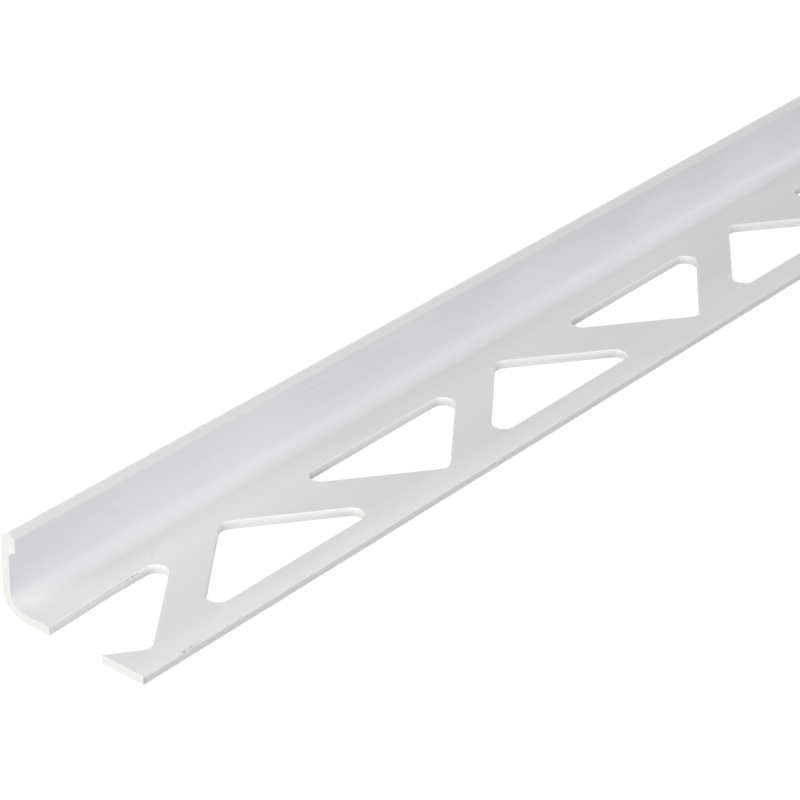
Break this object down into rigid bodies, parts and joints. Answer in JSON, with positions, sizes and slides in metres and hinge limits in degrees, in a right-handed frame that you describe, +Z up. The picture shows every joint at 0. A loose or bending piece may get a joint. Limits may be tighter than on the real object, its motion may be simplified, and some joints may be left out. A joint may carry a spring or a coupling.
{
  "type": "tile edge trim",
  "caption": "White plastic tile edge trim: perforated flat leg, round cove and a low wall with a thickened lip that stands against the tile's edge.",
  "frame": {"origin": "middle of the strip's length and width, on the underside of the leg", "axes": "+X along the strip away from the sawn end seen in the picture, +Y from the leg's free edge to the wall, +Z up from the leg's underside to the lip's crest"},
  "size_m": [1, 0.022, 0.0112],
  "materials": {
    "pvc_white": "satin rigid PVC as extruded, sawn at both ends"
  },
  "bodies": {
    "root": {"edge_trim": "pvc_white"}
  },
  "joints": []
}
